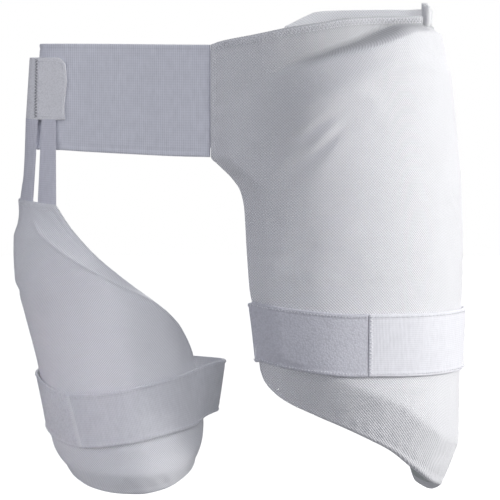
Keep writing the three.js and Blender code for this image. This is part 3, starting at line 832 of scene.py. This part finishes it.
def beltShare(x, front):
    at = np.linspace(0.0, 1.0, 4001)
    point = beltPath(at, np.array([0.0, 0.5, 1.0]))[:, 1]
    miss = np.abs(point[:, 0] - x) + np.where((point[:, 1] < -1) == front, 0.0, 1e6)
    return at[np.argmin(miss)]


# low waves of a woven strip, sines of the length and the height, a sewn selvedge along both edges as bells,
# and a hem over the first millimetres
def wovenSwell(weave, width, hem=0.0):
    def swell(u, v):
        edge = np.minimum(v, width - v)
        total = 1.4 * slope((hem - u) / 2.6, 0.3) * (hem > 0)
        for height, long, high, shift in weave["waves"]:
            total = total + height * np.sin(u / long + v / high + shift)
        for height, at, reach in weave["selvedge"]:
            total = total + height * hump((edge - at) / reach)
        return total

    return swell


beltSwell = wovenSwell(belt["weave"], belt["size"][0])
waistBelt = makeStrip("waistBelt", "waist_belt", beltPath, belt, beltSwell)

# Rear wing with the rolled front end
wing = dict(
    thick=2.0, size=(112.0, 236.0), counts=(240, 40), turn=70.5, radius=3.2, sweep=285.0, steps=9,
    roll=(81.0, 61.5), dip=3.0,
    run=table(("q", "top", "bottom"), [
        (160, 80, 63), (176, 76, 63), (200, 75.5, 63), (230, 76.5, 63), (256, 77.5, 63),
        (263.5, 77.5, 63.5), (268, 77.5, 20), (272, 77.5, -40),
    ]),
    back=table(("x", "y", "top", "bottom"), [
        (132, 138, 78, -41), (104, 150, 78, -42), (80, 155, 77.5, -42), (69, 155.4, 76.4, -42),
        (60, 155.2, 73, -42), (51, 153.8, 68.4, -42), (41.4, 151.4, 63.6, -42),
    ]),
)


# roll: an arc about its heart, then along the flange of the pad, then round the back
def wingPath(along, across):
    turn = math.radians(wing["turn"])
    heart, out = outerBase(np.array(turn * outerPad["turnRadius"]), np.array(72.0))
    heart = heart + out * 2.6
    way = np.array([math.cos(turn), math.sin(turn), 0.0])
    swing = np.radians(wing["sweep"] * (1 - np.arange(wing["steps"]) / wing["steps"]))
    curl = heart + wing["radius"] * (out * np.cos(swing)[:, None] - way * np.sin(swing)[:, None])
    curl = np.repeat(curl[:, None], len(across), 1)
    crown = wing["roll"][0] - wing["dip"] * (0.5 + 0.5 * np.cos(swing - 0.6))
    curl[..., 2] = mix(crown[:, None], wing["roll"][1], across[None])
    side, away = outerBase(wing["run"]["q"], np.full(len(wing["run"]["q"]), 66.0))
    side = np.repeat((side + away * 2.0)[:, None], len(across), 1)
    side[..., 2] = mix(wing["run"]["top"][:, None], wing["run"]["bottom"][:, None], across[None])
    return line(np.concatenate([curl, side, runStations(wing["back"], across)]))(along)


rearWing = makeStrip("rearWing", "rear_wing", wingPath, wing)
print("stage: belt and wing")

# Hanger tab and webbing
tab = dict(
    thick=2.0, size=(50.0, 66.0), counts=(110, 40), rear=-147.0, front=-138.0, bulge=4.0, flare=3.4,
    top=35.3, drop=5.0, low=(-11.0, -15.6),
)


# the tab's plan follows the belt at a lift that bulges round the fold, more at its lower edge
def tabPath(along, across):
    bell = hump((along - 0.4) / 0.17)[:, None]
    lift = (belt["thick"] + tab["thick"]) / 2 + gap * 2
    lift = lift + (tab["bulge"] + tab["flare"] * across[None]) * bell
    share = mix(beltShare(tab["rear"], False), beltShare(tab["front"], True), along)
    middle = np.array([0.0, 0.5, 1.0])
    point = beltPath(share, middle)[:, 1]
    way = beltPath(share + 0.003, middle)[:, 1] - beltPath(share - 0.003, middle)[:, 1]
    way = (way / np.hypot(way[:, 0], way[:, 1])[:, None])[:, None]
    top = tab["top"] - tab["drop"] * np.clip((along - 0.84) / 0.16, 0, None) ** 2
    low = mix(tab["low"][0], tab["low"][1], ramp(along / 0.6))
    z = mix(top[:, None], low[:, None], across[None])
    sway = np.sin(2 * math.pi * (across - 0.05))[None] * ramp((along - 0.8) / 0.2)[:, None]
    x = point[:, :1] + way[..., 1] * lift + sway
    y = point[:, 1:2] - way[..., 0] * lift
    return np.stack([x, y, z], -1)


hangerTab = makeStrip("hangerTab", "hanger_tab", tabPath, tab)

hangers = dict(
    sewn=1.2,
    front=dict(ends=(0.615, 0.826), neck=(-49.0, -27.0), size=(66.0, 19.0), thick=2.0, counts=(60, 60)),
    back=dict(ends=(0.30, 0.578), neck=(-85.0, -57.0), size=(66.0, 20.0), thick=2.0, counts=(60, 60)),
)
neckZ = column(innerPad["top"], "q", "z")


# webbing: straight threads from the tab's lower edge to the neck of the small pad, sewn in at both ends
def makeHanger(name, node, facts):
    def path(along, across):
        high = tabPath(mix(facts["ends"][0], facts["ends"][1], along), np.array([0.0, 0.5, 1.0]))[:, 2]
        high = high + np.array([0, 0, hangers["sewn"]])
        q = mix(facts["neck"][0], facts["neck"][1], along)
        point, out = innerBase(q, neckZ(q))
        low = point + out * innerPad["edge"] / 2 - np.array([0, 0, hangers["sewn"]])
        return mix(high[:, None], low[:, None], across[None, :, None])

    piece = makeStrip(name, node, path, facts)
    return piece


hangerFront = makeHanger("hangerFront", "hanger_strap_front", hangers["front"])
hangerBack = makeHanger("hangerBack", "hanger_strap_back", hangers["back"])
print("stage: hanger")

# Leg straps
outerStrap = dict(
    seam=50.0,
    pile=dict(thick=1.8, size=(49.0, 118.0), counts=(110, 40)),
    elastic=dict(thick=2.2, size=(52.0, 500.0), counts=(260, 32)),
    on=table(("q", "z", "width"), [
        (-41, -185, 47.5), (-20, -189, 49), (9, -193.5, 50.5), (37, -196.5, 51), (60, -197, 51),
        (84, -198, 51.5), (127, -199, 52), (176, -199.5, 52), (204, -200, 52), (270, -200, 52),
    ]),
    back=table(("x", "y", "z", "width", "lean"), [
        (140, 160, -200, 52, 0), (104, 167, -199, 52, 0), (68, 150, -198, 52, 0), (43, 114, -196, 52, 0),
        (28, 66, -193, 51, 0), (20.5, 16, -190, 49, 0), (20.4, -20, -187, 48, 0),
    ]),
)
innerStrap = dict(
    width=44.0, hem=(-43.0, -38.0),
    pile=dict(thick=1.8, size=(44.0, 94.0), counts=(80, 32)),
    elastic=dict(thick=2.2, size=(44.0, 395.0), counts=(260, 32), hem=6.5),
    on=table(("q", "z"), [
        (-114, -241), (-104, -244), (-85, -250), (-62, -257), (-42, -260), (-18, -258.5), (4, -255.5),
        (41, -248), (66, -244.5),
    ]),
    back=table(("x", "y", "z", "width", "lean"), [
        (-25, 6, -238.5, 44, 2), (-15.5, 17, -236, 43.5, 6), (-12.7, 23, -235.5, 43.5, 6.6),
        (-15.3, 29, -235.5, 43.5, 6.6), (-32.5, 52, -236, 44, 5), (-63, 84, -237, 44, 2),
        (-104, 96, -238, 44, 0), (-140, 78, -239, 44, 0), (-156, 56, -240, 44, 0),
    ]),
)
outerStrapZ = column(outerStrap["on"], "q", "z")
outerStrapWidth = column(outerStrap["on"], "q", "width")
innerStrapZ = column(innerStrap["on"], "q", "z")


# free stations behind the leg for every place across
def freeStations(rows, across):
    rise = 0.5 - across[None]
    x, y, z, width, lean = (values[:, None] for values in rows.values())
    return np.stack([x + lean * rise, y + 0 * rise, z + width * rise], -1)


def outerStrapAt(q, across, lift):
    return onPad(outerForm, q, outerStrapZ(q) + outerStrapWidth(q) * (0.5 - across), lift)[0]


def innerStrapAt(q, across, lift):
    return onPad(innerForm, q, innerStrapZ(q) + innerStrap["width"] * (0.5 - across), lift)[0]


# pile half: turned round the free edge of the pad, then along its face to the seam
def outerPilePath(along, across):
    lift = rest + outerStrap["pile"]["thick"] / 2
    rows = outerStrap["back"]
    z = rows["z"][-1] + rows["width"][-1] * (0.5 - across)
    edge = outerLeftQ(z)

    def beside(q, depth):
        point, out = outerBase(q, z)
        return point + out * depth

    first = np.stack([0 * z + rows["x"][-1], 0 * z + rows["y"][-1] - gap * 2, z], -1)
    turned = [first, beside(edge + 1.5, -5.0), beside(edge - lift - 0.8, 0.5),
              beside(edge - lift * 0.8, outerPad["flange"] + lift * 0.6)]
    q = mix(edge[None] + 1.5, outerStrap["seam"], np.linspace(0, 1, 15)[:, None])
    on = outerStrapAt(q, across[None], lift)
    return line(np.concatenate([np.stack(turned), on]))(along)


def outerElasticPath(along, across):
    q = np.linspace(outerStrap["seam"] + 0.2, 270.0, 30)[:, None] + 0 * across[None]
    lift = rest + outerStrap["elastic"]["thick"] / 2 + gap * ramp((q - 220) / 30)
    on = outerStrapAt(q, across[None], lift)
    return line(np.concatenate([on, freeStations(outerStrap["back"], across)]))(along)


def innerPileAt(q, across):
    lift = rest + innerStrap["pile"]["thick"] / 2 + rest * ramp((-88 - q) / 14)
    return innerStrapAt(q, across, lift)


def innerPilePath(along, across):
    q = np.linspace(innerStrap["on"]["q"][0], -32.0, 20)[:, None] + 0 * across[None]
    return line(innerPileAt(q, across[None]))(along)


# elastic: folded end on the pile, down to the pad, fold on the right, behind the leg to the pile
def innerElasticPath(along, across):
    start = mix(innerStrap["hem"][0], innerStrap["hem"][1], across)
    over = rest * 1.5 + innerStrap["pile"]["thick"] + innerStrap["elastic"]["thick"] / 2
    under = rest + innerStrap["elastic"]["thick"] / 2
    q = mix(start[None], 66.0, np.linspace(0, 1, 24)[:, None])
    on = innerStrapAt(q, across[None], mix(over, under, ramp((q + 30) / 24)))
    first = innerStrap["on"]["q"][0] + 0 * across
    near = innerPileAt(first, across)
    way = innerPileAt(first + 2, across) - near
    way[:, 2] = 0
    end = near - unit(way) * gap * 2.5
    return line(np.concatenate([on, freeStations(innerStrap["back"], across), end[None]]))(along)


strapWeave = dict(
    waves=((0.16, 7.0, 21.0, 0.0), (0.12, 17.0, -12.0, 0.0)),
    selvedge=((0.4, 1.5, 1.0), (-0.3, 4.2, 0.9)),
)


def makeStrap(name, node, path, facts):
    swell = wovenSwell(strapWeave, facts["size"][0], facts.get("hem", 0.0))
    return makeStrip(name, node, path, facts, swell)


outerPile = makeStrap("outerStrapPile", "outer_strap_pile", outerPilePath, outerStrap["pile"])
outerElastic = makeStrap(
    "outerStrapElastic", "outer_strap_elastic", outerElasticPath, outerStrap["elastic"])
innerPile = makeStrap("innerStrapPile", "inner_strap_pile", innerPilePath, innerStrap["pile"])
innerElastic = makeStrap(
    "innerStrapElastic", "inner_strap_elastic", innerElasticPath, innerStrap["elastic"])
print("stage: leg straps")


# Stitching
stitching = dict(
    hem=dict(inset=(2.0, 5.8), pitch=3.0, grain=(2.2, 0.6, 0.4)),
    overlock=dict(inset=3.9, pitch=1.9, grain=(3.6, 0.5, 0.35), zigzag=62.0),
    selvedge=dict(inset=0.05, pitch=2.6, grain=(2.0, 0.5, 0.3), zigzag=38.0),
    seam=dict(pitch=1.5, grain=(4.4, 0.65, 0.45), zigzag=64.0),
    plain=dict(pitch=2.8, grain=(2.1, 0.6, 0.4)),
    satin=dict(pitch=0.85, grain=(4.6, 0.95, 0.5), zigzag=84.0),
    # painted shadow line: dark threads beside the edge of the tab's front patch
    shadowLine=dict(pitch=1.25, grain=(2.3, 0.42, 0.3), zigzag=72.0),
)


# outer face of a strip along one line across its width
def lineAlong(path, share, place, thick):
    grid = path(share, np.clip(np.array([place - 0.02, place, place + 0.02]), 0.0, 1.0))
    normal = gridNormals(grid)[:, 1]
    return grid[:, 1] + normal * (thick / 2 + 0.15), normal


# outer face of a strip across its width at one share of its length
def lineAcross(path, share, across, thick, lift=0.15):
    grid = path(np.array([share - 0.002, share, share + 0.002]), across)
    normal = gridNormals(grid)[1]
    return grid[1] + normal * (thick / 2 + lift), normal


# grains along every line, turned one way and the other by the zigzag angle
def stitchRow(name, lines, facts):
    parts = [stitchPlaces(points, normals, facts["pitch"]) for points, normals in lines]
    place, heading, normal = (np.concatenate(rows) for rows in zip(*parts))
    heading = unit(heading)
    side = np.cross(normal, heading)
    turn = np.radians(facts.get("zigzag", 0.0)) * np.where(np.arange(len(place)) % 2 == 0, 1.0, -1.0)
    heading = heading * np.cos(turn)[:, None] + side * np.sin(turn)[:, None]
    return makeStitches(name, place, heading, normal, facts["grain"])


def makeStitching():
    hemQ = np.linspace(-69.0, 148.0, 600)
    hemZ = column({k: v[:9] for k, v in outerPad["top"].items()}, "q", "z")(hemQ)
    sideZ = np.linspace(43.0, -42.0, 200)
    sideQ = outerPad["left"]["q"][0] + 4.6 + 0 * sideZ
    tackQ = outerLeftQ(np.full(200, -157.0)) + np.linspace(4.0, 9.0, 200)
    neckQ = np.linspace(-84.0, -29.0, 200)
    share = np.linspace(0.004, 0.996, 1400)
    front = np.linspace(0.575, 0.965, 300)
    cross = np.linspace(0.03, 0.97, 160)
    inset = stitching["selvedge"]["inset"]
    elastic, smallElastic = outerStrap["elastic"]["thick"], innerStrap["elastic"]["thick"]

    def edges(path, strap):
        return [lineAlong(path, share, place, strap["thick"] + 0.5) for place in (inset, 1 - inset)]

    tabBorder = [lineAlong(tabPath, front, place, tab["thick"]) for place in (0.06, 0.94)]
    tabBorder += [lineAcross(tabPath, at, cross, tab["thick"]) for at in (0.585, 0.955)]
    rows = (
        ("hemStitches", "hem", "pad_cover",
         [onPad(outerForm, hemQ, hemZ - down, 0.72) for down in stitching["hem"]["inset"]]),
        ("hemOverlock", "overlock", "pad_cover",
         [onPad(outerForm, hemQ, hemZ - stitching["overlock"]["inset"], 0.75)]),
        ("seamStitches", "plain", "pad_cover", [onPad(outerForm, sideQ, sideZ, 0.15)]),
        ("edgeTack", "plain", "pad_cover",
         [onPad(outerForm, tackQ, np.full(200, level), 0.1) for level in (-157.0, -158.1)]),
        ("outerElasticStitches", "selvedge", "elastic_large",
         edges(outerElasticPath, outerStrap["elastic"])),
        ("outerPileStitches", "selvedge", "pile_large", edges(outerPilePath, outerStrap["pile"])),
        ("innerElasticStitches", "selvedge", "elastic_small",
         edges(innerElasticPath, innerStrap["elastic"])),
        ("innerPileStitches", "selvedge", "pile_small", edges(innerPilePath, innerStrap["pile"])),
        ("strapJoint", "seam", "elastic_large",
         [lineAcross(outerElasticPath, 0.0035, cross, elastic, 0.2)]),
        ("foldStitches", "satin", "elastic_small",
         [lineAcross(innerElasticPath, 0.0068, cross, smallElastic, 1.4)]),
        ("tabStitches", "plain", "tab_cloth", tabBorder),
        # painted shadow line along the edge of the tab's front patch, laid as dark threads
        ("tabShadowLine", "shadowLine", "tab_cloth",
         [lineAcross(tabPath, at, cross, tab["thick"], 0.1) for at in (0.548, 0.557)]),
        ("neckStitches", "plain", "inner_cover",
         [onPad(innerForm, neckQ, neckZ(neckQ) - down, 0.1) for down in (3.0, 5.4)]),
        ("beltJoint", "seam", "belt_elastic",
         [lineAcross(beltPath, at, cross, belt["thick"], 0.1) for at in (0.008, 0.022)]),
        ("wingHem", "plain", "wing_cloth",
         [lineAlong(wingPath, np.linspace(0.3, 0.99, 500), 0.06, wing["thick"])]),
    )
    return [stitchRow(name, lines, stitching[kind]) for name, kind, slotName, lines in rows]


stitches = makeStitching()
print("stage: stitching")


# Materials
def noise(tree, vector, scale, detail, rough=0.55):
    inputs = {"Vector": vector, "Scale": scale, "Detail": detail, "Roughness": rough}
    return addNode(tree, "TexNoise", inputs).outputs["Fac"]


# dark and light tone of a base colour picked by a factor
def toned(tree, base, factor, dark, light):
    span = addNode(tree, "MapRange", {"Value": factor, "To Min": dark, "To Max": light})
    scale = tree.nodes.new("ShaderNodeVectorMath")
    scale.operation = "SCALE"
    tree.links.new(base, scale.inputs[0])
    tree.links.new(span.outputs["Result"], scale.inputs["Scale"])
    return scale.outputs["Vector"]


clothSockets = dict(
    INPUT=(("Weave", "NodeSocketVector"), ("Base", "NodeSocketColor"), ("Pitch", "NodeSocketFloat")),
    OUTPUT=(("Color", "NodeSocketColor"), ("Roughness", "NodeSocketFloat"), ("Height", "NodeSocketFloat")),
)


# a wave from 0 to 1 of one turn each unit
def waveOf(tree, value):
    turn = math2(tree, "MULTIPLY", value, 2 * math.pi)
    return math2(tree, "MULTIPLY_ADD", math2(tree, "SINE", turn), 0.5, 0.5)


# cloth: a height summed from parts and their shares, colour from the height and a broad cloud,
# rougher in the hollows
def makeCloth(name, relief, cloudScale, cloudDetail, tones, roughness):
    tree = bpy.data.node_groups.new(name, "ShaderNodeTree")
    for side, sockets in clothSockets.items():
        for label, kind in sockets:
            tree.interface.new_socket(name=label, in_out=side, socket_type=kind)
    start = tree.nodes.new("NodeGroupInput")
    end = tree.nodes.new("NodeGroupOutput")
    weave = start.outputs["Weave"]
    axes = addNode(tree, "SeparateXYZ", {"Vector": weave})
    x, y = (math2(tree, "DIVIDE", axes.outputs[label], start.outputs["Pitch"]) for label in "XY")
    first, *others = relief(tree, weave, x, y)
    height = math2(tree, "MULTIPLY", *first)
    for part, share in others:
        height = math2(tree, "MULTIPLY_ADD", part, share, height)
    cloud = noise(tree, weave, cloudScale, cloudDetail)
    factor = math2(tree, "MULTIPLY_ADD", cloud, 0.16, math2(tree, "MULTIPLY", height, 0.84))
    rough = addNode(tree, "MapRange", {"Value": height, "To Min": roughness[0], "To Max": roughness[1]})
    tree.links.new(toned(tree, start.outputs["Base"], factor, *tones), end.inputs["Color"])
    tree.links.new(rough.outputs["Result"], end.inputs["Roughness"])
    tree.links.new(height, end.inputs["Height"])
    return tree


# twill: slanted ribs crossed by yarns the other way, broken up by noise
def twillRelief(tree, weave, x, y):
    yarns = waveOf(tree, math2(tree, "SUBTRACT", x, y))
    ribs = waveOf(tree, math2(tree, "ADD", x, y))
    return (yarns, 0.41), (ribs, 0.43), (noise(tree, weave, 900.0, 2.0), 0.2)


# elastic: ribs along the height, faint weft lines across them, slubs drawn out along the ribs
def elasticRelief(tree, weave, x, y):
    weft = waveOf(tree, math2(tree, "MULTIPLY", y, 0.8))
    drawn = {"X": math2(tree, "MULTIPLY", x, 0.55), "Y": math2(tree, "MULTIPLY", y, 0.16)}
    slub = noise(tree, addNode(tree, "CombineXYZ", drawn).outputs["Vector"], 1.0, 3.0)
    return (weft, 0.14), (waveOf(tree, x), 0.34), (slub, 0.5), (noise(tree, weave, 1100.0, 2.0), 0.15)


# loop pile: crowded small tufts of uneven height
def pileRelief(tree, weave, x, y):
    cell = addNode(tree, "CombineXYZ", {"X": x, "Y": y}).outputs["Vector"]
    tuft = addNode(tree, "TexVoronoi", {"Vector": cell, "Scale": 1.0}).outputs["Distance"]
    crown = math2(tree, "SUBTRACT", 1.0, tuft)
    return (crown, 0.5), (noise(tree, weave, 1500.0, 3.0, 0.7), 0.55)


clothGroups = dict(
    twill=makeCloth("twillCloth", twillRelief, 26.0, 3.0, (0.68, 1.20), (0.9, 0.74)),
    elastic=makeCloth("ribbedElastic", elasticRelief, 60.0, 4.0, (0.70, 1.20), (0.93, 0.78)),
    pile=makeCloth("loopPile", pileRelief, 70.0, 4.0, (0.72, 1.18), (1.0, 0.9)),
)
paints = dict(
    # cloth, colour, pitch and bump in metres, sheen
    coverPaint=("twill", (0.868, 0.868, 0.882), 0.0023, 0.0006, 0.12),
    innerPaint=("twill", (0.955, 0.955, 0.978), 0.0018, 0.00026, 0.12),
    wingPaint=("twill", (0.965, 0.965, 0.975), 0.0024, 0.00018, 0.12),
    liningPaint=("elastic", (0.55, 0.58, 0.56), 0.0016, 0.0003, 0.2),
    beltPaint=("elastic", (0.84, 0.848, 0.905), 0.0016, 0.0002, 0.12),
    tabPaint=("pile", (0.985, 0.98, 0.995), 0.0011, 0.00022, 0.2),
    webPaint=("elastic", (0.80, 0.80, 0.865), 0.0013, 0.0002, 0.12),
    pilePaint=("pile", (0.685, 0.685, 0.735), 0.0015, 0.0005, 0.3),
    smallPilePaint=("pile", (0.90, 0.895, 0.925), 0.0015, 0.0005, 0.3),
    threadPaint=("elastic", (0.95, 0.95, 0.97), 0.0006, 0.0001, 0.1),
    # dark colour of the tab's painted shadow line
    shadowLinePaint=("pile", (0.22, 0.22, 0.24), 0.0006, 0.0001, 0.2),
    strapPaint=("elastic", (0.83, 0.83, 0.86), 0.0013, 0.00022, 0.12),
)
# greyer colour that the painted shade share mixes into the cover
shadeColors = dict(coverPaint=(0.48, 0.485, 0.495))
lightThrough = dict(wingPaint=0.85)


def makePaint(name, cloth, color, pitch, bump, sheen):
    paint = bpy.data.materials.new(name)
    paint.use_nodes = True
    tree = paint.node_tree
    shader = tree.nodes["Principled BSDF"]
    for label, value in (
        ("Sheen Weight", sheen), ("Sheen Roughness", 0.5), ("Specular IOR Level", 0.25),
        ("Subsurface Weight", lightThrough.get(name, 0.0)), ("Subsurface Scale", 0.009),
        ("Subsurface Radius", (1.0, 1.0, 1.0)),
    ):
        shader.inputs[label].default_value = value
    weave = tree.nodes.new("ShaderNodeUVMap")
    weave.uv_map = "weave"
    group = tree.nodes.new("ShaderNodeGroup")
    group.node_tree = clothGroups[cloth]
    group.inputs["Base"].default_value = (*color, 1.0)
    group.inputs["Pitch"].default_value = pitch
    tree.links.new(weave.outputs["UV"], group.inputs["Weave"])
    # painted shade: the shade share from the pad mixes the greyer colour into the base colour
    if name in shadeColors:
        share = tree.nodes.new("ShaderNodeAttribute")
        share.attribute_name = "paintedShade"
        blend = tree.nodes.new("ShaderNodeMix")
        blend.data_type = "RGBA"
        blend.inputs["A"].default_value = (*color, 1.0)
        blend.inputs["B"].default_value = (*shadeColors[name], 1.0)
        tree.links.new(share.outputs["Fac"], blend.inputs["Factor"])
        tree.links.new(blend.outputs["Result"], group.inputs["Base"])
    relief = addNode(tree, "Bump", {"Strength": 0.8, "Distance": bump, "Height": group.outputs["Height"]})
    tree.links.new(group.outputs["Color"], shader.inputs["Base Color"])
    tree.links.new(group.outputs["Roughness"], shader.inputs["Roughness"])
    tree.links.new(relief.outputs["Normal"], shader.inputs["Normal"])
    return paint


made = {name: makePaint(name, *facts) for name, facts in paints.items()}
for piece, name in (
    (outerCover, "coverPaint"), (outerLining, "liningPaint"), (rearWing, "wingPaint"),
    (waistBelt, "beltPaint"), (hangerTab, "tabPaint"), (hangerFront, "webPaint"), (hangerBack, "webPaint"),
    (innerCover, "innerPaint"), (outerPile, "pilePaint"), (outerElastic, "strapPaint"),
    (innerPile, "smallPilePaint"), (innerElastic, "strapPaint"),
):
    piece.data.materials.append(made[name])
for row in stitches:
    # the tab's painted shadow line row takes the dark colour
    row.data.materials.append(made["shadowLinePaint" if row.name == "tabShadowLine" else "threadPaint"])
print("stage: materials")
